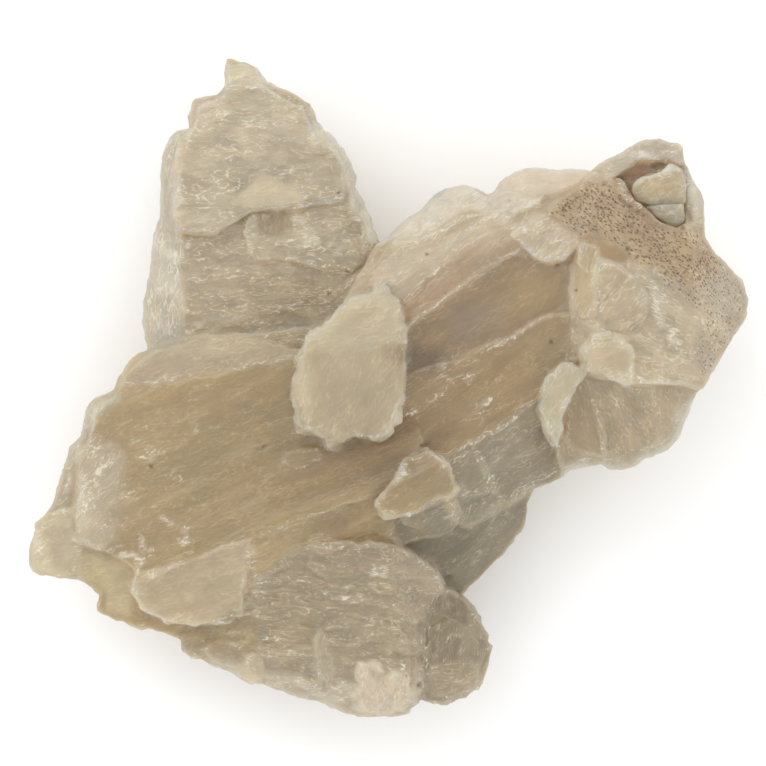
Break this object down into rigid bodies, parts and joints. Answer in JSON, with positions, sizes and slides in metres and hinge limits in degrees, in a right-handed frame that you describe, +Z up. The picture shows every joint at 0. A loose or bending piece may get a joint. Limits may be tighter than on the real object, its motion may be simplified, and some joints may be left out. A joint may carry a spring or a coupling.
{
  "type": "selenite crystal cluster",
  "caption": "Honey-coloured cluster of intergrown selenite blades with a lumpy front edge and two loose cleavage fragments, for display or study.",
  "frame": {"origin": "middle of the cluster's plan extents, in the plane it rests on", "axes": "+X from the left crystal's tip to the right crystal's weathered end, +Y towards the rear blade's tip, +Z up, away from the flat spot it rests on"},
  "size_m": [0.1002, 0.0922, 0.035],
  "materials": {
    "honey_selenite": "translucent, part frosted",
    "cleaved_selenite": "translucent cleavage faces",
    "frayed_selenite": "frosted, frayed edge"
  },
  "bodies": {
    "root": {"cluster": "honey_selenite", "wedge_shard": "cleaved_selenite", "edge_flake": "frayed_selenite"}
  },
  "joints": []
}
